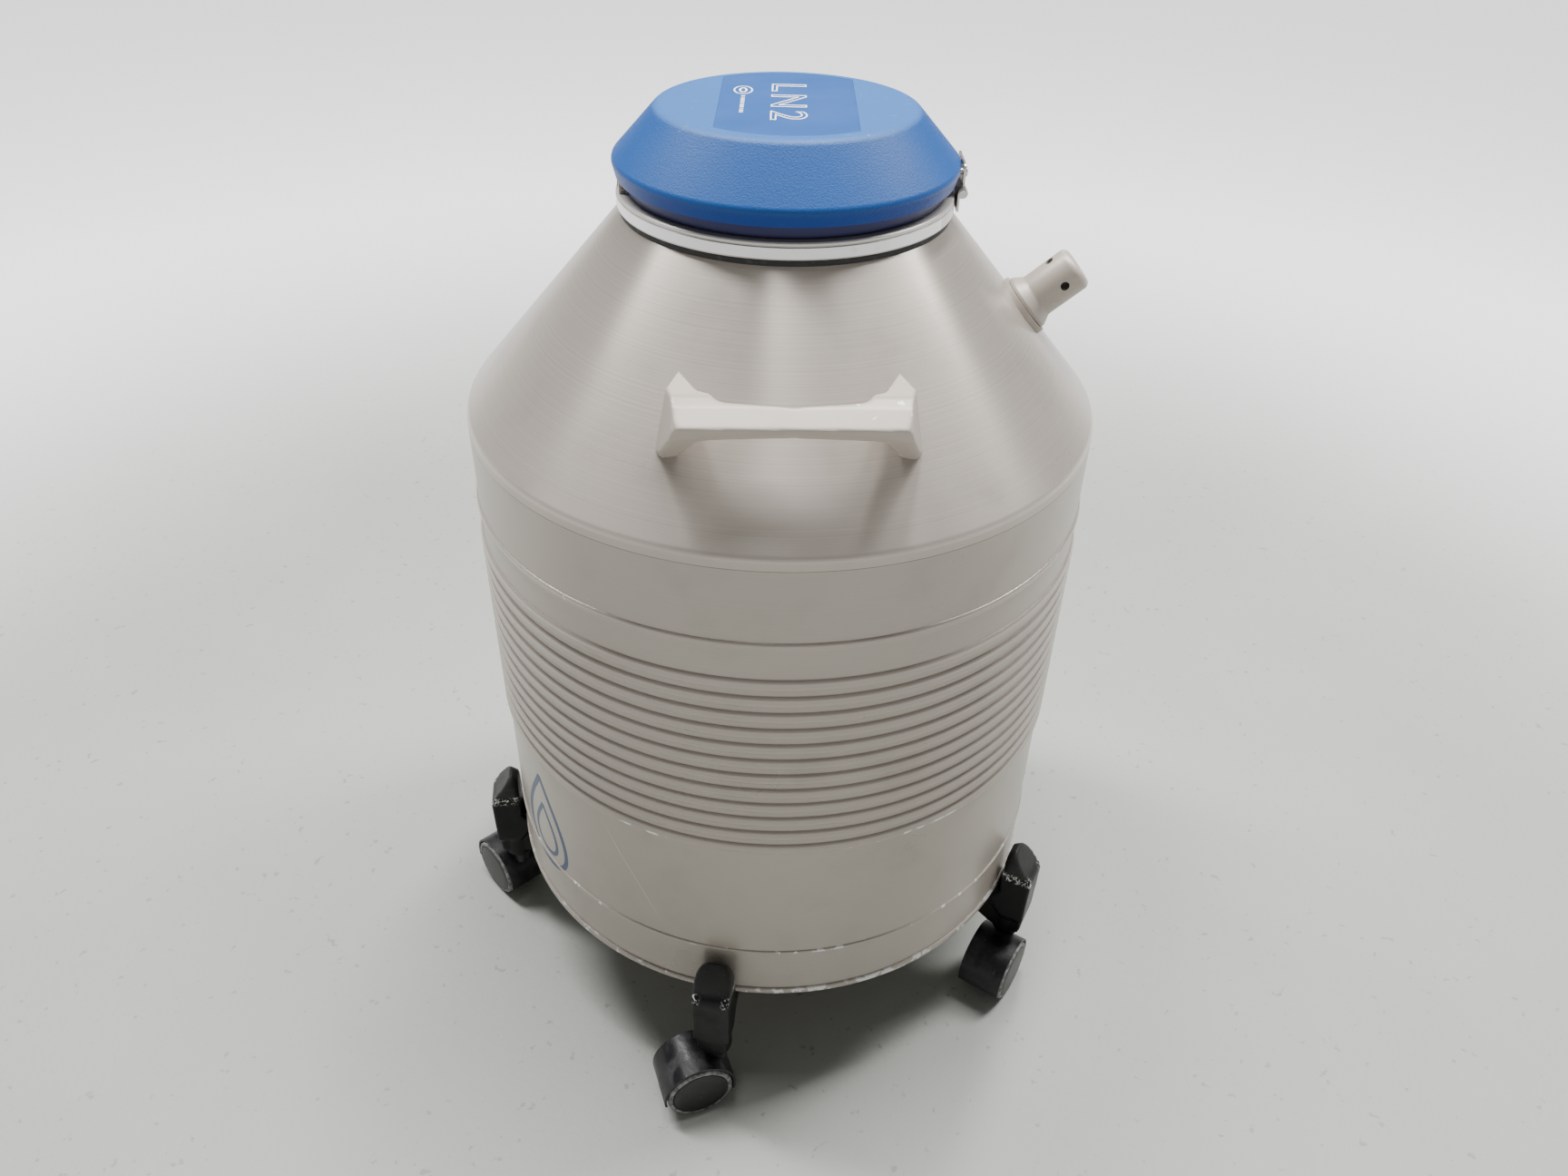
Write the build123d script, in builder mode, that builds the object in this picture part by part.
"""Liquid nitrogen storage dewar on a five-arm roller base, in millimetres, +Z up.

The origin is the centre of the flat underside of the roller base's hub. The vessel's axis is Z,
the lid hinge is on the +X side, the lid's hasp on the -X side, and a handle faces -Y.
"""
import os
from math import cos, radians, sin, sqrt

from build123d import *

# ---- Outer vessel -------------------------------------------------------------------------
body_radius = 239.0  # drum and shoulder, outside
sheet = 2.0  # drum wall
rim_height = 33.5  # underside of the drum's bottom rim
rim_width = 6.0
rim_proud = 1.4
shoulder_height = 473.0  # where the drum's line meets the cone's line
shoulder_round = 9.0
seam_drop = 9.0  # weld seam below the shoulder
cone_rise = 140.4  # shoulder to the flat top of the upper head
cone_top_radius = 116.7
head_wall = 2.5
head_plate = 5.0  # flat plate round the neck
lower_bead_height = 86.7
lower_bead_width = 3.4
lower_bead_proud = 1.2
upper_bead_height = 404.5
upper_bead_width = 6.0
upper_bead_proud = 1.8
rib_count = 12
rib_pitch = 14.63
rib_first_height = 210.3
rib_width = 10.2
rib_proud = 2.5
dish_wall = 3.0
dish_rise = 20.0  # bottom head, centre to edge
dish_flange = 16.0
dish_centre_height = 42.0

# ---- Neck -------------------------------------------------------------------------------------
neck_bore_radius = 59.5
neck_wall = 2.0
gasket_thickness = 4.3
ring_height = 11.3
ring_radius = 118.4
ring_groove = 0.8
lip_height = 2.4
index_ring_radius = 66.0
index_ring_height = 12.0
index_notch_depth = 7.0

# ---- Inner vessel and what hangs in it ---------------------------------------------------------
inner_radius = 196.0
inner_wall = 2.5
inner_bottom_height = 82.0
inner_dish_rise = 12.0
inner_top_height = 380.0  # where the inner vessel's top head starts
inner_head_rise = 56.0
inner_head_fall = 8.0  # from the collar down to the knuckle's corner
inner_knuckle = 46.0
collar_height = 10.0
collar_wall = 4.5
blanket_gap = 2.5
blanket_thickness = 14.0
blanket_sleeve = 32.0  # up the neck, above the inner vessel's head
pack_radius = 70.0
pack_height = 14.0
canister_count = 6
canister_radius = 33.5
canister_wall = 0.8
canister_height = 279.0
canister_circle = 89.0
rod_radius = 2.0
rod_start = 20.0
hook_reach = 17.0
hook_drop = 5.8
hook_bend = 3.5
spider_radius = 125.0
spider_plate = 2.0
spider_height = 95.0
spider_foot_radius = 15.0
spider_hole_inset = 8.0
spider_notch = 9.0
rest_gap = 0.3  # between pieces that rest on each other but move apart

# ---- Lid --------------------------------------------------------------------------------------
lid_height = 54.3  # neck ring to lid top
lid_top_radius = 89.0
lid_max_radius = 121.0
lid_max_height = 20.0  # above the neck ring
lid_edge_radius = 118.3
lid_edge_height = 9.5
lid_wall = 3.0
skirt_radius = 112.0
skirt_wall = 3.0
skirt_gap = 0.6
flange_rise = 1.0  # above the cover's lower edge
flange_thickness = 2.0
skirt_notch_angle = 34.0
core_top_radius = 49.0
core_bottom_radius = 36.0
core_depth = 59.0  # below the top of the neck ring
core_straight = 11.0  # above the top of the neck ring
label_width = 93.0
label_radius = 81.0
label_depth = 0.6
label_thickness = 0.5

# ---- Hinge and hasp --------------------------------------------------------------------------
hinge_offset = 3.6  # pin axis outside the neck ring
hinge_rise = 2.0  # pin axis above the neck ring
hinge_width = 40.0
knuckle_radius = 3.4
middle_knuckle = 17.4
knuckle_gap = 0.3
pin_radius = 1.75
pin_clearance = 0.05
leaf_thickness = 1.5
leaf_height = 19.0
rivet_radius = 2.0
rivet_spacing = 24.0
rivet_height = 13.0  # above the pin axis
hasp_radius = 117.4
hasp_thickness = 1.8
hasp_angle = 32.0
hasp_foot = 1.2
hasp_gap = 0.4
hasp_hole_radius = 3.25
hasp_hole_angle = 13.0

# ---- Handles -------------------------------------------------------------------------------------
handle_angle = 1.9  # turn of the front handle from -Y towards +X
handle_foot_radius = 183.0  # distance of the handle's middle from the vessel's axis, on the cone
grip_top = 47.0
grip_thickness = 12.0
grip_lean = 4.8  # the grip's upper edge is this much lower than its lower edge
grip_half_length = 63.0
grip_upper_edge = 0.6
grip_lower_edge = -14.8
grip_bow = 4.0
foot_inner = 71.0
foot_outer = 83.0
foot_upper = 36.0
foot_upper_inner = 59.0
foot_upper_outer = 69.0
foot_depth = 30.0
foot_flare = 6.0
grip_round = 12.0

# ---- Vacuum port ---------------------------------------------------------------------------------
port_radius_position = 178.0
port_flange_radius = 24.0
port_flange_height = 3.0
nipple_radius = 14.2
nipple_bore = 11.0
nipple_length = 20.0
cap_radius = 16.5
cap_clearance = 0.3
cap_length = 45.0
cap_top = 3.0
cap_round = 5.0
cap_flange_radius = 21.0
cap_flange_height = 2.2
cap_flare = 7.0
cap_gap = 0.4
vent_radius = 3.25
vent_height = 34.0
plug_radius = 10.6
plug_depth = 18.0
plug_head_radius = 13.4
plug_head_height = 4.0
o_ring_section = 1.5
o_ring_clearance = 0.03
o_ring_depth = 7.0

# ---- Roller base ---------------------------------------------------------------------------------
floor_level = -86.0
arm_count = 5
arm_first_angle = -9.8  # from -Y towards +X
arm_width = 31.0
leg_width = 25.0
leg_bottom = 2.0
leg_top = 33.2
hub_radius = 85.0
hub_thickness = 12.0
hub_boss_radius = 22.0
hub_boss_height = 27.0
arm_inner_radius = 30.0
finger_gap = 4.1  # drum rim to finger
finger_thickness = 27.0
finger_top = 82.0
finger_bevel_bottom = 55.0
stem_circle = 254.0
stem_boss_radius = 14.0
stem_boss_bottom = -24.0
stem_boss_chamfer = 2.0
boss_underside = -16.0  # where the leg's and the finger's outlines end, inside the boss
leg_inner_drop = 8.0
leg_inner_rise = 40.0
leg_belly = (20.0, 70.0)  # along the leg, from the boss
bevel_start = (6.0, 8.0)  # out from the finger's inner face, down from its top
screw_radius = 4.0
screw_head_radius = 6.5
screw_head_depth = 5.0
screw_circles = (45.0, 70.0)
screw_length = 17.0

# ---- Casters ---------------------------------------------------------------------------------------
wheel_radius = 28.5
wheel_width = 14.6
wheel_inner_face = 7.6
trail = 20.0
stem_radius = 5.5
stem_clearance = 0.05
stem_length = 22.0  # below the arm's boss
stem_grip = 34.0  # inside the arm's boss
hood_gap = 1.2
hood_wall = 2.0
hood_width = 40.0
hood_web = 14.2
hood_front_angle = -12.0
hood_back_angle = 196.0
socket_radius = 9.0
socket_gap = 0.5
axle_radius = 4.0
axle_clearance = 0.05
axle_end_gap = 0.4
tread_width = 3.0  # left outside the blind bore
wheel_edge = 1.6
disc_radius = 23.5
disc_step = 1.2
hub_pad = 8.0  # round the axle, on the hood's web
stem_end_gap = 0.5
caster_turns = (200.0, 237.0, 20.0, 140.0, 133.0)  # direction of each wheel from its stem, from +X

# ---- Worked out from the above --------------------------------------------------------------
cone_slope = cone_rise / (body_radius - cone_top_radius)
cone_face = sqrt(1 + cone_slope**2)
cone_out = (cone_slope / cone_face, 1 / cone_face)  # the cone's normal, as (radius, height)
head_top = shoulder_height + cone_rise
ring_bottom = head_top + gasket_thickness
ring_top = ring_bottom + ring_height
neck_outer_radius = neck_bore_radius + neck_wall
seam_height = shoulder_height - seam_drop
lid_top = ring_top + lid_height
hinge_x = ring_radius + hinge_offset
hinge_z = ring_top + hinge_rise
axle_height = floor_level + wheel_radius
rod_circle = canister_circle - canister_radius - rod_radius + 0.4
hook_height = ring_top + index_ring_height - index_notch_depth + rest_gap + rod_radius
canister_floor = spider_height + spider_plate + rest_gap
canister_angles = [360 / canister_count * n for n in range(canister_count)]
arm_angles = [arm_first_angle + 360 / arm_count * n for n in range(arm_count)]

os.makedirs("parts", exist_ok=True)


def save(part, name):
    """Names a finished piece and writes it to its own file."""
    part.label = name
    export_step(part, f"parts/{name}.step")


def cone_height(radius):
    """Height of the cone's outer surface at a distance from the axis."""
    return shoulder_height + (body_radius - radius) * cone_slope


def turned(points):
    """The solid that a closed outline of (radius, height) points makes about the vessel's axis."""
    with BuildPart() as solid:
        with BuildSketch(Plane.XZ):
            with BuildLine():
                Polyline(*points, close=True)
            make_face()
        revolve(axis=Axis.Z)
    return solid.part


def facing(angle, radius=0.0, height=0.0):
    """A level plane whose X axis points outwards at an angle from -Y towards +X."""
    turn = radians(angle)
    outward = Vector(sin(turn), -cos(turn), 0)
    return Plane(origin=outward * radius + Vector(0, 0, height), x_dir=outward, z_dir=(0, 0, 1))


def dish_point(at, radius, rise, centre_height, inset):
    """A point (at, height) on a spherical dish of that rise over that radius, or on its inner face."""
    sphere = (radius**2 + rise**2) / (2 * rise)
    return at, centre_height + sphere - sqrt((sphere - inset) ** 2 - at**2)


def dish_arc(end, radius, rise, centre_height, inset):
    """The dish's arc from the axis out to a radius."""
    stops = [dish_point(at, radius, rise, centre_height, inset) for at in (0, end / 2, end)]
    return ThreePointArc(*stops)


# The vessel's own solid up to the cone, used to trim what is welded onto the cone.
vessel_envelope = turned(
    [
        (0, rim_height),
        (body_radius, rim_height),
        (body_radius, shoulder_height),
        (cone_top_radius, head_top),
        (0, head_top),
    ]
)

# ======================= Outer vessel =========================================================
# The drum is rolled sheet with two beads and a band of ribs pressed outwards, and a bottom rim.
with BuildPart() as drum:
    with BuildSketch(Plane.XZ):
        with BuildLine():
            rim_radius = body_radius + rim_proud
            outline = Polyline(
                (body_radius - sheet, seam_height),
                (body_radius - sheet, rim_height),
                (rim_radius, rim_height),
                (rim_radius, rim_height + rim_width - rim_proud),
                (body_radius, rim_height + rim_width),
            )
            bulges = [(lower_bead_height, lower_bead_width, lower_bead_proud)]
            bulges += [(rib_first_height + rib_pitch * n, rib_width, rib_proud) for n in range(rib_count)]
            bulges += [(upper_bead_height, upper_bead_width, upper_bead_proud)]
            level = rim_height + rim_width
            for middle, width, proud in bulges:
                Line((body_radius, level), (body_radius, middle - width / 2))
                ThreePointArc(
                    (body_radius, middle - width / 2),
                    (body_radius + proud, middle),
                    (body_radius, middle + width / 2),
                )
                level = middle + width / 2
            Polyline((body_radius, level), (body_radius, seam_height), (body_radius - sheet, seam_height))
        make_face()
    revolve(axis=Axis.Z)
save(drum.part, "drum")

# The upper head is spun in one piece: a short skirt, a rounded shoulder, the cone and a flat top.
plate_radius = body_radius - (head_top - head_plate + head_wall * cone_face - shoulder_height) / cone_slope
port_foot = Vector(port_radius_position, 0, cone_height(port_radius_position))
port_plane = Plane(origin=port_foot, x_dir=(0, 1, 0), z_dir=(cone_out[0], 0, cone_out[1]))
with BuildPart() as upper_head:
    with BuildSketch(Plane.XZ):
        with BuildLine():
            FilletPolyline(
                (body_radius - head_wall, seam_height),
                (body_radius, seam_height),
                (body_radius, shoulder_height),
                (cone_top_radius, head_top),
                (neck_outer_radius, head_top),
                (neck_outer_radius, head_top - head_plate),
                (plate_radius, head_top - head_plate),
                (body_radius - head_wall, shoulder_height + head_wall * (cone_slope - cone_face)),
                radius=[0, 0, shoulder_round, 0, 0, 0, 0, shoulder_round - head_wall],
                close=True,
            )
        make_face()
    revolve(axis=Axis.Z)
    with Locations(port_plane):
        Hole(radius=nipple_bore, depth=3 * head_wall)
save(upper_head.part, "upper_head")

# The bottom head is a shallow spherical dish, welded inside the drum above its rim.
dish_radius = body_radius - sheet
dish_edge_height = dish_centre_height + dish_rise
with BuildPart() as bottom_head:
    with BuildSketch(Plane.XZ):
        with BuildLine():
            dish_arc(dish_radius, dish_radius, dish_rise, dish_centre_height, 0)
            Polyline(
                (dish_radius, dish_edge_height),
                (dish_radius, dish_edge_height + dish_flange),
                (dish_radius - dish_wall, dish_edge_height + dish_flange),
                dish_point(dish_radius - dish_wall, dish_radius, dish_rise, dish_centre_height, dish_wall),
            )
            dish_arc(dish_radius - dish_wall, dish_radius, dish_rise, dish_centre_height, dish_wall)
            Line((0, dish_centre_height + dish_wall), (0, dish_centre_height))
        make_face()
    revolve(axis=Axis.Z)
save(bottom_head.part, "bottom_head")

# ======================= Neck ===================================================================
neck_bottom = inner_top_height + inner_head_rise - collar_wall / 2
save(
    turned(
        [
            (neck_bore_radius, neck_bottom),
            (neck_outer_radius, neck_bottom),
            (neck_outer_radius, ring_top),
            (neck_bore_radius, ring_top),
        ]
    ),
    "neck_tube",
)
save(
    turned(
        [
            (neck_outer_radius + 2.5, head_top),
            (cone_top_radius, head_top),
            (cone_top_radius, ring_bottom),
            (neck_outer_radius + 2.5, ring_bottom),
        ]
    ),
    "neck_gasket",
)
# The neck ring is a turned collar with a thin lip above a groove.
groove_top = ring_top - lip_height
save(
    turned(
        [
            (neck_outer_radius, ring_bottom),
            (ring_radius, ring_bottom),
            (ring_radius, groove_top - ring_groove),
            (ring_radius - ring_groove, groove_top - ring_groove),
            (ring_radius - ring_groove, groove_top),
            (ring_radius - ring_groove / 2, groove_top),
            (ring_radius - ring_groove / 2, ring_top - ring_groove),
            (ring_radius - 1.5 * ring_groove, ring_top),
            (neck_outer_radius, ring_top),
        ]
    ),
    "neck_ring",
)
# The index ring stands on the neck ring and has one notch for each canister's hook.
with BuildPart() as index_ring:
    with BuildSketch(Plane.XY.offset(ring_top)):
        Circle(index_ring_radius)
        Circle(neck_bore_radius, mode=Mode.SUBTRACT)
    extrude(amount=index_ring_height)
    notch_bottom = ring_top + index_ring_height - index_notch_depth
    for angle in canister_angles:
        with BuildSketch(facing(angle, (neck_bore_radius + index_ring_radius) / 2, notch_bottom)):
            Rectangle(
                2 * neck_wall + index_ring_radius - neck_bore_radius, 2 * rod_radius + 2 * rest_gap + 0.6
            )
        extrude(amount=index_notch_depth, mode=Mode.SUBTRACT)
save(index_ring.part, "index_ring")

# ======================= Inner vessel ===========================================================
inner_bore = inner_radius - inner_wall
dish_edge = inner_bottom_height + inner_dish_rise
collar_radius = neck_outer_radius + collar_wall
head_end = inner_top_height + inner_head_rise
knuckle_corner = head_end - inner_head_fall
with BuildPart() as inner_vessel:
    with BuildSketch(Plane.XZ):
        with BuildLine():
            dish_arc(inner_radius, inner_radius, inner_dish_rise, inner_bottom_height, 0)
            FilletPolyline(
                (inner_radius, dish_edge),
                (inner_radius, knuckle_corner),
                (collar_radius, head_end),
                (collar_radius, head_end + collar_height),
                (neck_outer_radius, head_end + collar_height),
                (neck_outer_radius, head_end - inner_wall),
                (inner_bore, knuckle_corner - inner_wall),
                dish_point(inner_bore, inner_radius, inner_dish_rise, inner_bottom_height, inner_wall),
                radius=[inner_knuckle, 0, 0, 0, 0, inner_knuckle - inner_wall],
            )
            dish_arc(inner_bore, inner_radius, inner_dish_rise, inner_bottom_height, inner_wall)
            Line((0, inner_bottom_height + inner_wall), (0, inner_bottom_height))
        make_face()
    revolve(axis=Axis.Z)
save(inner_vessel.part, "inner_vessel")

# The adsorbent pack is a flat bag under the inner vessel.
pack_top = inner_bottom_height - 1.0
pack_bottom = pack_top - pack_height
save(
    turned([(0, pack_bottom), (pack_radius, pack_bottom), (pack_radius, pack_top), (0, pack_top)]),
    "adsorbent_pack",
)

# The insulation is one wrapped blanket round the inner vessel, the pack and the neck's foot.
sleeve = collar_radius + blanket_gap
pack_under = pack_bottom - 1.5


def blanket_face(offset):
    """One face of the blanket, as points and corner radii, at an offset from the inner vessel."""
    extra = offset - blanket_gap
    points = [
        (0, pack_under - extra),
        (pack_radius + 4 + extra / 2, pack_under - extra),
        (inner_radius + offset, dish_edge - 6 - extra / 3),
        (inner_radius + offset, knuckle_corner + offset),
        (sleeve + extra, head_end + offset + 0.5),
        (sleeve + extra, head_end + blanket_sleeve),
    ]
    return points, [0, 0, 0, inner_knuckle + offset, 4, 0]


inner_points, inner_rounds = blanket_face(blanket_gap)
outer_points, outer_rounds = blanket_face(blanket_gap + blanket_thickness)
with BuildPart() as insulation_blanket:
    with BuildSketch(Plane.XZ):
        with BuildLine():
            FilletPolyline(
                *inner_points,
                *reversed(outer_points),
                radius=inner_rounds + outer_rounds[::-1],
                close=True,
            )
        make_face()
    revolve(axis=Axis.Z)
save(insulation_blanket.part, "insulation_blanket")

# The spider is a pierced plate on one foot, where the canisters' bottoms rest clear of the floor.
with BuildPart() as canister_spider:
    with BuildSketch(Plane.XY.offset(spider_height)):
        Circle(spider_radius)
        with PolarLocations(canister_circle, canister_count, start_angle=-90):
            Circle(canister_radius - spider_hole_inset, mode=Mode.SUBTRACT)
        with PolarLocations(spider_radius, canister_count, start_angle=-90 + 180 / canister_count):
            Circle(spider_notch, mode=Mode.SUBTRACT)
    extrude(amount=spider_plate)
    with BuildSketch(Plane.XY.offset(inner_bottom_height + inner_wall + rest_gap)):
        Circle(spider_foot_radius)
    extrude(amount=spider_height - inner_bottom_height - inner_wall - rest_gap)
save(canister_spider.part, "canister_spider")


def build_canister(angle, name):
    """A tall thin cup with its lifting rod, whose top bends over the index ring."""
    plane = facing(angle)
    with BuildPart() as canister:
        with BuildSketch(facing(angle, canister_circle, canister_floor)):
            Circle(canister_radius)
        extrude(amount=canister_height)
        with BuildSketch(facing(angle, canister_circle, canister_floor + canister_wall)):
            Circle(canister_radius - canister_wall)
        extrude(amount=canister_height, mode=Mode.SUBTRACT)
        upright = Plane(origin=(0, 0, 0), x_dir=plane.x_dir, z_dir=plane.x_dir.cross(Vector(0, 0, 1)))
        with BuildLine(upright) as route:
            FilletPolyline(
                (rod_circle, canister_floor + rod_start),
                (rod_circle, hook_height),
                (rod_circle + hook_reach, hook_height),
                (rod_circle + hook_reach, hook_height - hook_drop),
                radius=hook_bend,
            )
        with BuildSketch(Plane(origin=route.line @ 0, z_dir=(0, 0, 1))):
            Circle(rod_radius)
        sweep(path=route.line)
        with BuildSketch(facing(angle, canister_circle, canister_floor + canister_wall)):
            Circle(canister_radius - canister_wall)
        extrude(amount=canister_height, mode=Mode.SUBTRACT)
    save(canister.part, name)


for number, angle in enumerate(canister_angles, start=1):
    build_canister(angle, f"canister_{number}")

# ======================= Lid ========================================================================
lid_max_z = ring_top + lid_max_height
lid_edge_z = ring_top + lid_edge_height
label_middle = lid_top - label_depth
rivet_z = hinge_z + rivet_height


def label_outline(clearance):
    """The label's plan: straight left and right edges, and curved edges that follow the lid's rim."""
    with BuildSketch(Plane.XY) as plan:
        Circle(label_radius - clearance)
        Rectangle(label_width - 2 * clearance, 2 * label_radius, mode=Mode.INTERSECT)
    return plan.sketch


with BuildPart() as lid_cover:
    with BuildSketch(Plane.XZ):
        with BuildLine():
            FilletPolyline(
                (0, lid_top),
                (lid_top_radius, lid_top),
                (lid_max_radius, lid_max_z),
                (lid_edge_radius, lid_edge_z),
                (lid_edge_radius - lid_wall, lid_edge_z),
                (lid_max_radius - lid_wall, lid_max_z - 1.0),
                (lid_top_radius - lid_wall / 2, lid_top - lid_wall),
                (0, lid_top - lid_wall),
                radius=[0, 9, 5, 0, 0, 3, 6, 0],
                close=True,
            )
        make_face()
    revolve(axis=Axis.Z)
    add(label_outline(0).moved(Location((0, 0, label_middle))))
    extrude(amount=2 * label_depth, mode=Mode.SUBTRACT)
    with Locations(Plane(origin=(hinge_x, 0, rivet_z), x_dir=(0, 1, 0), z_dir=(1, 0, 0))):
        with GridLocations(rivet_spacing, 0, 2, 1):
            Hole(radius=rivet_radius, depth=12)
save(lid_cover.part, "lid_cover")

with BuildPart() as label_plate:
    add(label_outline(0.15).moved(Location((0, 0, label_middle))))
    extrude(amount=label_thickness)
save(label_plate.part, "label_plate")

# The skirt is the lid's lower half: a wall that closes on the neck ring, and a flange in the cover.
skirt_bottom = ring_top + skirt_gap
flange_z = lid_edge_z + flange_rise
flange_radius = lid_edge_radius - lid_wall + flange_rise * (lid_max_radius - lid_edge_radius) / (
    lid_max_height - lid_edge_height
)
with BuildPart() as lid_skirt:
    add(
        turned(
            [
                (skirt_radius - skirt_wall, skirt_bottom),
                (skirt_radius, skirt_bottom),
                (skirt_radius, flange_z),
                (flange_radius, flange_z),
                (flange_radius, flange_z + flange_thickness),
                (skirt_radius - skirt_wall, flange_z + flange_thickness),
            ]
        )
    )
    with BuildSketch(Plane.XY.offset(skirt_bottom)):
        reach = 2 * skirt_radius
        half = radians(skirt_notch_angle / 2)
        with BuildLine():
            Polyline(
                (0, 0),
                (-reach * cos(half), reach * sin(half)),
                (-reach * cos(half), -reach * sin(half)),
                close=True,
            )
        make_face()
    extrude(amount=flange_z - skirt_bottom, mode=Mode.SUBTRACT)
save(lid_skirt.part, "lid_skirt")

# The foam core fills the middle of the lid and tapers down into the neck.
save(
    turned(
        [
            (0, ring_top - core_depth),
            (core_bottom_radius, ring_top - core_depth),
            (core_top_radius, ring_top + core_straight),
            (core_top_radius, lid_top - lid_wall),
            (0, lid_top - lid_wall),
        ]
    ),
    "foam_core",
)

# ======================= Lid hinge ==================================================================
hinge_side = Plane(origin=(hinge_x, 0, hinge_z), x_dir=(1, 0, 0), z_dir=(0, -1, 0))
with BuildPart() as hinge_leaf:
    with BuildSketch(hinge_side):
        Circle(knuckle_radius)
        with Locations((0, (knuckle_radius + leaf_height / 4) / 2)):
            Rectangle(leaf_thickness, knuckle_radius + leaf_height / 4)
    extrude(amount=middle_knuckle / 2, both=True)
    leaf_base = knuckle_radius + 1.1
    leaf_plane = Plane(origin=(hinge_x - leaf_thickness / 2, 0, hinge_z), x_dir=(0, 1, 0), z_dir=(1, 0, 0))
    with BuildSketch(leaf_plane):
        with Locations((0, (leaf_base + leaf_height) / 2)):
            RectangleRounded(hinge_width - 4, leaf_height - leaf_base, 3)
    extrude(amount=leaf_thickness)
    with BuildSketch(hinge_side):
        Circle(pin_radius + pin_clearance)
    extrude(amount=middle_knuckle, both=True, mode=Mode.SUBTRACT)
    with Locations(Plane(origin=(hinge_x + leaf_thickness, 0, rivet_z), x_dir=(0, 1, 0), z_dir=(1, 0, 0))):
        with GridLocations(rivet_spacing, 0, 2, 1):
            Hole(radius=rivet_radius, depth=12)
save(hinge_leaf.part, "hinge_leaf")

# Two rivets hold the leaf on the lid's rim: a shank through both and a low domed head.
rivet_root = lid_edge_radius - lid_wall - 3.0
leaf_face = hinge_x + leaf_thickness / 2
with BuildPart() as lid_rivets:
    with BuildSketch(Plane(origin=(rivet_root, 0, rivet_z), x_dir=(0, 1, 0), z_dir=(1, 0, 0))):
        with GridLocations(rivet_spacing, 0, 2, 1):
            Circle(rivet_radius)
    extrude(amount=leaf_face - rivet_root)
    with BuildSketch(Plane(origin=(leaf_face, 0, rivet_z), x_dir=(0, 1, 0), z_dir=(1, 0, 0))):
        with GridLocations(rivet_spacing, 0, 2, 1):
            Circle(2 * rivet_radius)
    extrude(amount=0.8 * rivet_radius, taper=30)
save(lid_rivets.part, "lid_rivets")

# The bracket is welded to the neck ring and carries the two outer knuckles.
with BuildPart() as hinge_bracket:
    side_knuckle = (hinge_width - middle_knuckle) / 2 - knuckle_gap
    for side in (-1, 1):
        centre = side * (middle_knuckle / 2 + knuckle_gap + side_knuckle / 2)
        with BuildSketch(Plane(origin=(hinge_x, centre, hinge_z), x_dir=(1, 0, 0), z_dir=(0, -1, 0))):
            Circle(knuckle_radius)
            with Locations(((0.2 - hinge_offset) / 2, -knuckle_radius / 2)):
                Rectangle(hinge_offset - 0.2, knuckle_radius)
            Circle(pin_radius, mode=Mode.SUBTRACT)
        extrude(amount=side_knuckle / 2, both=True)
    plate_top = hinge_z - knuckle_radius
    plate_bottom = ring_bottom + 0.8
    with BuildSketch(Plane(origin=(ring_radius + 0.2, 0, plate_bottom), x_dir=(0, 1, 0), z_dir=(1, 0, 0))):
        with Locations((0, (plate_top - plate_bottom) / 2)):
            Rectangle(hinge_width, plate_top - plate_bottom)
    extrude(amount=leaf_thickness)
save(hinge_bracket.part, "hinge_bracket")

# The hinge pin has a head at its -Y end.
with BuildPart() as hinge_pin:
    with BuildSketch(hinge_side):
        Circle(pin_radius)
    extrude(amount=hinge_width / 2 + 1.0, both=True)
    with BuildSketch(hinge_side.offset(hinge_width / 2)):
        Circle(1.6 * pin_radius)
    extrude(amount=1.5)
save(hinge_pin.part, "hinge_pin")

# The hasp is a curved plate on the neck ring, under the lid's edge, with a padlock hole near each end.
with BuildPart() as hasp_bracket:
    hasp_inner = hasp_radius - hasp_thickness
    with BuildSketch(Plane.XY.offset(ring_top)):
        Circle(hasp_radius)
        Circle(hasp_inner - 2.0, mode=Mode.SUBTRACT)
    extrude(amount=hasp_foot)
    with BuildSketch(Plane.XY.offset(ring_top)):
        Circle(hasp_radius)
        Circle(hasp_inner, mode=Mode.SUBTRACT)
    extrude(amount=lid_edge_height - hasp_gap)
    with BuildSketch(Plane.XY.offset(ring_top)):
        half = radians(hasp_angle / 2)
        reach = 2 * hasp_radius
        with BuildLine():
            Polyline(
                (0, 0),
                (-reach * cos(half), reach * sin(half)),
                (-reach * cos(half), -reach * sin(half)),
                close=True,
            )
        make_face()
    extrude(amount=lid_edge_height, mode=Mode.INTERSECT)
    hole_z = ring_top + (hasp_foot + lid_edge_height - hasp_gap) / 2
    for side in (-1, 1):
        turn = facing(-90 + side * hasp_hole_angle)
        with Locations(Plane(origin=turn.x_dir * hasp_radius + Vector(0, 0, hole_z), z_dir=turn.x_dir)):
            Hole(radius=hasp_hole_radius, depth=2 * hasp_thickness)
save(hasp_bracket.part, "hasp_bracket")

# ======================= Handles ====================================================================
# Each handle is a cast bridge: the outline seen along the cone's slope is cut by the outline seen
# from straight above the cone, which flares towards the two feet.


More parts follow.
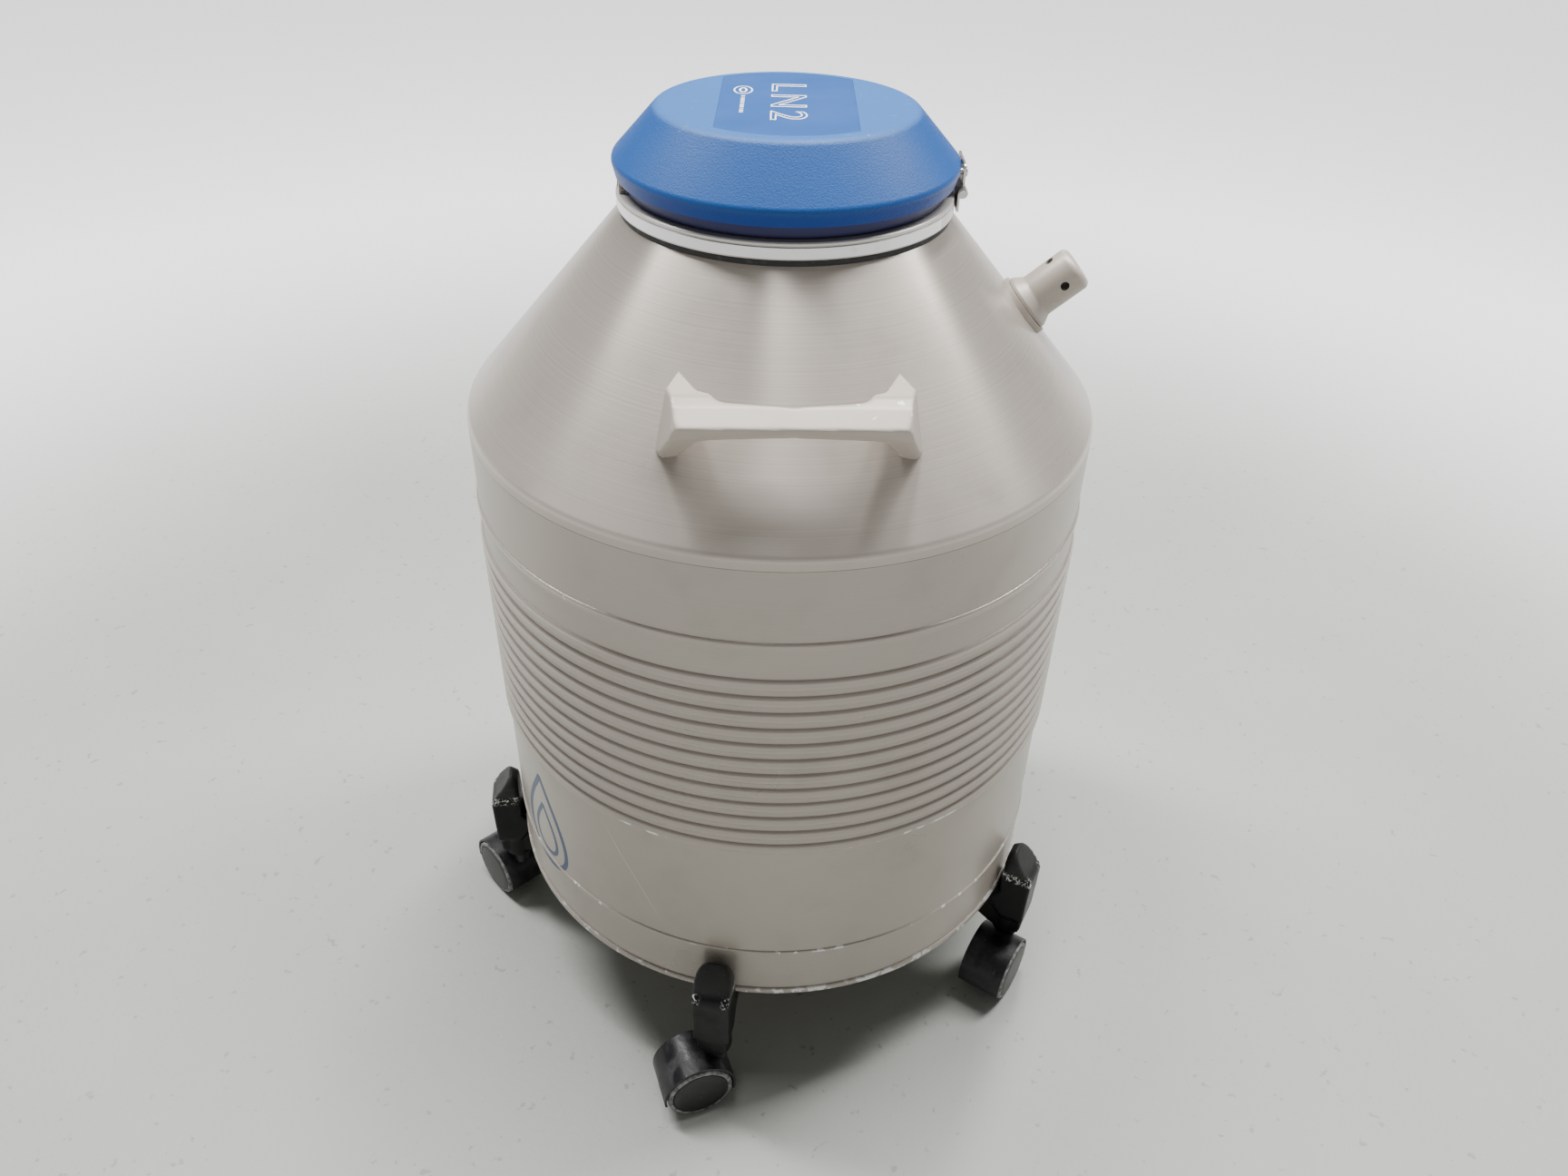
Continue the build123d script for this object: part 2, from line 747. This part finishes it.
def build_handle(turn, name):
    """A handle whose middle stands at a turn from -Y towards +X."""
    facing_out = facing(turn).x_dir
    foot = facing_out * handle_foot_radius + Vector(0, 0, cone_height(handle_foot_radius))
    normal = facing_out * cone_out[0] + Vector(0, 0, cone_out[1])
    along = Vector(0, 0, 1).cross(facing_out)
    up_slope = normal.cross(along)
    top_face = Plane(origin=foot, x_dir=along, z_dir=normal)
    bridge = Plane(origin=foot, x_dir=along, z_dir=up_slope * -1)
    profile = Plane(origin=foot, x_dir=up_slope, z_dir=along)
    bridge_up, profile_up = bridge.y_dir.dot(normal), profile.y_dir.dot(normal)
    inner_top = grip_top - grip_thickness - 3.0
    with BuildPart() as handle:
        # Seen down the slope: a bridge with flared sides.
        with BuildSketch(bridge):
            with BuildLine():
                arch = [
                    (-foot_outer - foot_flare, -foot_depth),
                    (-grip_half_length - 7, grip_top),
                    (grip_half_length + 7, grip_top),
                    (foot_outer + foot_flare, -foot_depth),
                    (foot_inner + foot_flare, -foot_depth),
                    (grip_half_length - 8, inner_top),
                    (-grip_half_length + 8, inner_top),
                    (-foot_inner - foot_flare, -foot_depth),
                ]
                FilletPolyline(
                    *[(x, bridge_up * y) for x, y in arch],
                    radius=[0, 6, 6, 0, 0, grip_round, grip_round, 0],
                    close=True,
                )
            make_face()
        extrude(amount=2 * foot_upper, both=True)
        # Seen from the side: the leaning grip, and cheeks that run down to the feet.
        with BuildSketch(profile):
            with BuildLine():
                cheek = [
                    (grip_lower_edge, grip_top),
                    (grip_upper_edge, grip_top - grip_lean),
                    (grip_upper_edge + 8, grip_top - grip_lean - 5),
                    (foot_upper, -9),
                    (foot_upper, -foot_depth),
                    (grip_lower_edge - 5, -foot_depth),
                    (grip_lower_edge - 3.5, grip_top - grip_thickness),
                ]
                FilletPolyline(
                    *[(x, profile_up * y) for x, y in cheek],
                    radius=[1.5, 3, 8, 2, 0, 0, 1.5],
                    close=True,
                )
            make_face()
        extrude(amount=2 * foot_outer, both=True, mode=Mode.INTERSECT)
        # Seen from above: a narrow grip that flares towards the feet.
        with BuildSketch(top_face.offset(-foot_depth)):
            shift = 1 if top_face.y_dir.dot(up_slope) > 0 else -1
            low = grip_lower_edge
            with BuildLine():
                half = [
                    (0, grip_upper_edge),
                    (grip_half_length - 16, grip_upper_edge + grip_bow),
                    (foot_upper_inner, foot_upper + 4),
                    (foot_upper_outer, foot_upper + 4),
                    (foot_outer + 2, low),
                    (foot_outer - 3, low - 5),
                    (grip_half_length, low - 3),
                    (0, low - 1),
                ]
                mirrored = [(-x, y) for x, y in reversed(half[1:-1])]
                rounds = [20, grip_round, 4, 4, 3, 2, 5]
                FilletPolyline(
                    *[(x, shift * y) for x, y in half + mirrored],
                    radius=rounds + [0] + rounds[:0:-1],
                    close=True,
                )
            make_face()
        extrude(amount=foot_depth + grip_top, mode=Mode.INTERSECT)
        add(vessel_envelope, mode=Mode.SUBTRACT)
    save(handle.part, name)


build_handle(handle_angle, "handle_front")
build_handle(handle_angle + 180, "handle_rear")

# ======================= Vacuum port ================================================================
# The port is welded on the cone: a flange ring and a bored nipple.
with BuildPart() as vacuum_port:
    with BuildSketch(port_plane.offset(-8)):
        Circle(port_flange_radius)
    extrude(amount=8 + port_flange_height, taper=3)
    with BuildSketch(port_plane):
        Circle(nipple_radius)
    extrude(amount=nipple_length)
    with BuildSketch(port_plane.offset(-10)):
        Circle(nipple_bore)
    extrude(amount=nipple_length + 20, mode=Mode.SUBTRACT)
    add(vessel_envelope, mode=Mode.SUBTRACT)
save(vacuum_port.part, "vacuum_port")

# The cap slips over the nipple. It has a flared foot, four vent holes and a rounded end.
cap_foot = port_flange_height + cap_gap
cap_plane = port_plane.offset(cap_foot)
port_section = Plane(origin=port_foot, x_dir=(0, 1, 0), z_dir=Vector(0, 1, 0).cross(port_plane.z_dir))
with BuildPart() as vacuum_cap:
    with BuildSketch(port_section):
        with BuildLine():
            cap_bore = nipple_radius + cap_clearance
            cap_end = cap_foot + cap_length
            FilletPolyline(
                (cap_bore, cap_foot),
                (cap_flange_radius, cap_foot),
                (cap_flange_radius, cap_foot + cap_flange_height),
                (cap_radius, cap_foot + cap_flange_height + cap_flare),
                (cap_radius, cap_end),
                (0, cap_end),
                (0, cap_end - cap_top),
                (cap_bore, cap_end - cap_top),
                radius=[0, 0, 1, 4, cap_round, 0, 0, 2],
                close=True,
            )
        make_face()
    revolve(axis=Axis(port_foot, port_plane.z_dir))
    for sideways in (port_plane.x_dir, port_plane.y_dir):
        with BuildSketch(Plane(origin=port_foot + port_plane.z_dir * vent_height, z_dir=sideways)):
            Circle(vent_radius)
        extrude(amount=2 * cap_radius, both=True, mode=Mode.SUBTRACT)
save(vacuum_cap.part, "vacuum_cap")

# The relief plug lifts out of the nipple when the vacuum space is over pressure.
with BuildPart() as vacuum_plug:
    with BuildSketch(port_plane.offset(nipple_length - plug_depth)):
        Circle(plug_radius)
    extrude(amount=plug_depth + rest_gap)
    with BuildSketch(port_plane.offset(nipple_length + rest_gap)):
        Circle(plug_head_radius)
    extrude(amount=plug_head_height)
    chamfer(vacuum_plug.faces().sort_by(Axis(port_foot, port_plane.z_dir))[-1].edges(), 0.8)
    groove_plane = port_plane.offset(nipple_length - o_ring_depth)
    with BuildSketch(groove_plane):
        Circle(plug_radius + 1)
        Circle(nipple_bore - o_ring_clearance - o_ring_section, mode=Mode.SUBTRACT)
    extrude(amount=o_ring_section, mode=Mode.SUBTRACT)
save(vacuum_plug.part, "vacuum_plug")

with BuildPart() as plug_o_ring:
    with BuildSketch(groove_plane):
        Circle(nipple_bore - o_ring_clearance)
        Circle(nipple_bore - o_ring_clearance - o_ring_section, mode=Mode.SUBTRACT)
    extrude(amount=o_ring_section)
    fillet(plug_o_ring.edges(), 0.35)
save(plug_o_ring.part, "plug_o_ring")

# ======================= Roller base ================================================================
finger_inner = body_radius + rim_proud + finger_gap
finger_outer = finger_inner + finger_thickness
with BuildPart() as base_hub:
    with BuildSketch(Plane.XY):
        Circle(hub_radius)
    extrude(amount=hub_thickness)
    chamfer(base_hub.faces().sort_by(Axis.Z)[0].edges(), 1.5)
    with BuildSketch(Plane.XY.offset(hub_thickness)):
        Circle(hub_boss_radius)
    extrude(amount=hub_boss_height - hub_thickness)
    chamfer(base_hub.faces().sort_by(Axis.Z)[-1].edges(), 2)
    for circle in screw_circles:
        for angle in arm_angles:
            with Locations(Plane(origin=facing(angle, circle).origin, z_dir=(0, 0, -1))):
                CounterBoreHole(screw_radius, screw_head_radius, screw_head_depth, depth=hub_thickness)
save(base_hub.part, "base_hub")


def build_arm(angle, name):
    """One arm: a ribbed leg under the drum, a finger up its side and a boss for the caster's stem."""
    plane = facing(angle)
    across = Vector(0, 0, 1).cross(plane.x_dir)
    side = Plane(origin=(0, 0, 0), x_dir=plane.x_dir, z_dir=plane.x_dir.cross(Vector(0, 0, 1)))
    boss_outer, boss_inner = stem_circle + stem_boss_radius, stem_circle - stem_boss_radius
    finger_reach = finger_top - arm_width / 2 - stem_boss_bottom
    with BuildPart() as arm:
        outer_face = [
            (finger_inner, finger_top - bevel_start[1]),
            (finger_inner + bevel_start[0], finger_top),
            (finger_outer, finger_bevel_bottom),
            (finger_outer - 1, leg_bottom),
        ]
        # The leg, from the hub out to the boss.
        with BuildSketch(side):
            with BuildLine():
                FilletPolyline(
                    (arm_inner_radius, hub_thickness),
                    (arm_inner_radius, leg_top - leg_inner_drop),
                    (arm_inner_radius + leg_inner_rise, leg_top),
                    (finger_inner, leg_top),
                    *outer_face,
                    (boss_outer, boss_underside),
                    (boss_inner, boss_underside),
                    (boss_inner - leg_belly[0], leg_bottom - 6),
                    (boss_inner - leg_belly[1], leg_bottom),
                    (hub_radius + 2, leg_bottom),
                    (hub_radius + 2, hub_thickness),
                    radius=[0, 6, 20, 1.0, 3, 2, 12, 8, 0, 0, 8, 30, 0, 0],
                    close=True,
                )
            make_face()
        extrude(amount=leg_width / 2, both=True)
        # The finger, wider than the leg.
        with BuildSketch(side):
            with BuildLine():
                FilletPolyline(
                    *outer_face,
                    (finger_inner + 4, leg_bottom),
                    (finger_inner - 10, leg_top - 12),
                    (finger_inner, leg_top),
                    radius=[3, 2, 12, 0, 0, 0, 1],
                    close=True,
                )
            make_face()
        extrude(amount=arm_width, both=True)
        # Seen from outside, the finger is as wide as the arm and its end is round.
        with BuildSketch(Plane(origin=plane.x_dir * arm_inner_radius, x_dir=across, z_dir=plane.x_dir)):
            with Locations((0, stem_boss_bottom + finger_reach / 2)):
                SlotOverall(finger_reach + arm_width, arm_width, rotation=90)
        extrude(amount=2 * finger_outer, mode=Mode.INTERSECT)
        # Seen square to the bevel, it is round too.
        bevel_run = finger_outer - finger_inner - bevel_start[0]
        square_to_bevel = plane.x_dir * (finger_top - finger_bevel_bottom) + Vector(0, 0, bevel_run)
        bevel_edge = plane.x_dir * (finger_inner + bevel_start[0]) + Vector(0, 0, finger_top)
        with BuildSketch(Plane(origin=bevel_edge, x_dir=across, z_dir=square_to_bevel)):
            Rectangle(arm_width + 4, arm_width, align=(Align.CENTER, Align.CENTER))
            with Locations((0, -arm_width / 2)):
                Circle(arm_width / 2, mode=Mode.SUBTRACT)
                Rectangle(arm_width + 6, arm_width, align=(Align.CENTER, Align.MAX), mode=Mode.SUBTRACT)
        extrude(amount=2 * finger_thickness, both=True, mode=Mode.SUBTRACT)
        with BuildSketch(facing(angle, stem_circle, stem_boss_bottom)):
            Circle(stem_boss_radius)
        extrude(amount=leg_top - 10 - stem_boss_bottom)
        chamfer(arm.faces().sort_by(Axis.Z)[0].edges(), stem_boss_chamfer)
        with BuildSketch(facing(angle, stem_circle, stem_boss_bottom)):
            Circle(stem_radius)
        extrude(amount=stem_grip, mode=Mode.SUBTRACT)
        for circle in screw_circles:
            with BuildSketch(facing(angle, circle, hub_thickness)):
                Circle(screw_radius)
            extrude(amount=screw_length - hub_thickness + screw_head_depth, mode=Mode.SUBTRACT)
    save(arm.part, name)


for number, angle in enumerate(arm_angles, start=1):
    build_arm(angle, f"base_arm_{number}")

# Two screws hold each arm on the hub, from below.
with BuildPart() as arm_screws:
    for angle in arm_angles:
        for circle in screw_circles:
            with BuildSketch(facing(angle, circle, 1.0)):
                Circle(screw_head_radius - 0.3)
                RegularPolygon(screw_radius * 0.7, 6, mode=Mode.SUBTRACT)
            extrude(amount=screw_head_depth - 1.0)
            with BuildSketch(facing(angle, circle, screw_head_depth - 1.2)):
                Circle(screw_radius)
            extrude(amount=screw_length + 1.2)
save(arm_screws.part, "arm_screws")

# The caster stems are steel pins pressed into the arms.
with BuildPart() as caster_stems:
    for angle in arm_angles:
        with BuildSketch(facing(angle, stem_circle, stem_boss_bottom - stem_length)):
            Circle(stem_radius)
        extrude(amount=stem_length + stem_grip)
save(caster_stems.part, "caster_stems")


# ======================= Casters ====================================================================


def build_caster(arm_angle, turn, number):
    """A twin-wheel hooded caster whose wheels trail from its stem in the direction of turn."""
    stem = facing(arm_angle).x_dir * stem_circle
    back = Vector(cos(radians(turn)), sin(radians(turn)), 0)
    side = Vector(0, 0, 1).cross(back)
    centre = stem + back * trail + Vector(0, 0, axle_height)
    wheel_plane = Plane(origin=centre, x_dir=back, z_dir=side)
    up = 1 if wheel_plane.y_dir.Z > 0 else -1
    hood_inner = wheel_radius + hood_gap
    hood_outer = hood_inner + hood_wall
    socket_bottom = axle_height + sqrt(hood_inner**2 - trail**2)
    socket_top = stem_boss_bottom - socket_gap

    with BuildPart() as hood:
        start = hood_front_angle
        span = hood_back_angle - hood_front_angle
        with BuildSketch(wheel_plane):
            with BuildLine():
                CenterArc((0, 0), hood_outer, up * start, up * span)
                CenterArc((0, 0), hood_inner, up * start, up * span)
                for end in (start, hood_back_angle):
                    tip = (cos(radians(end)), up * sin(radians(end)))
                    Line(
                        (hood_inner * tip[0], hood_inner * tip[1]), (hood_outer * tip[0], hood_outer * tip[1])
                    )
            make_face()
        extrude(amount=hood_width / 2, both=True)
        with BuildSketch(wheel_plane):
            with BuildLine():
                CenterArc((0, 0), hood_inner + 0.5, 0, up * 180)
                Polyline(
                    (hood_inner + 0.5, 0),
                    (hub_pad, -up * hub_pad),
                    (-hub_pad, -up * hub_pad),
                    (-hood_inner - 0.5, 0),
                )
            make_face()
            Circle(axle_radius, mode=Mode.SUBTRACT)
        extrude(amount=hood_web / 2, both=True)
        socket_floor = stem + Vector(0, 0, socket_bottom - hood_wall)
        with BuildSketch(Plane(origin=socket_floor, x_dir=back, z_dir=(0, 0, 1))):
            Circle(socket_radius)
        extrude(amount=socket_top - socket_bottom + hood_wall)
        for sign in (-1, 1):
            with BuildSketch(wheel_plane.offset(sign * hood_web / 2)):
                Circle(hood_inner)
            extrude(amount=sign * hood_width, mode=Mode.SUBTRACT)
        stem_hole_floor = stem + Vector(0, 0, stem_boss_bottom - stem_length - stem_end_gap)
        with BuildSketch(Plane(origin=stem_hole_floor, z_dir=(0, 0, 1))):
            Circle(stem_radius + stem_clearance)
        extrude(amount=stem_length + 2 * stem_end_gap, mode=Mode.SUBTRACT)
    save(hood.part, f"caster_{number}_hood")

    axle_half = wheel_inner_face + wheel_width - tread_width - axle_end_gap
    with BuildPart() as axle:
        with BuildSketch(wheel_plane):
            Circle(axle_radius)
        extrude(amount=axle_half, both=True)
    save(axle.part, f"caster_{number}_axle")

    section = Plane(origin=centre, x_dir=back, z_dir=back.cross(side))
    for letter, sign in (("a", 1), ("b", -1)):
        # The wheel's half section: its bore is blind, and its outer disc stands a little proud.
        flip = sign if section.y_dir.dot(side) > 0 else -sign
        outer = wheel_inner_face + wheel_width
        bore = axle_radius + axle_clearance
        outline = [
            (bore, wheel_inner_face),
            (wheel_radius - wheel_edge, wheel_inner_face),
            (wheel_radius, wheel_inner_face + wheel_edge),
            (wheel_radius, outer - disc_step - 1.5 * wheel_edge),
            (wheel_radius - wheel_edge, outer - disc_step),
            (disc_radius + disc_step, outer - disc_step),
            (disc_radius, outer - disc_step / 3),
            (0, outer),
            (0, outer - tread_width),
            (bore, outer - tread_width),
        ]
        with BuildPart() as wheel:
            with BuildSketch(section):
                with BuildLine():
                    Polyline(*[(r, flip * w) for r, w in outline], close=True)
                make_face()
            revolve(axis=Axis(centre, side))
        save(wheel.part, f"caster_{number}_wheel_{letter}")


for number, (arm_angle, turn) in enumerate(zip(arm_angles, caster_turns), start=1):
    build_caster(arm_angle, turn, number)
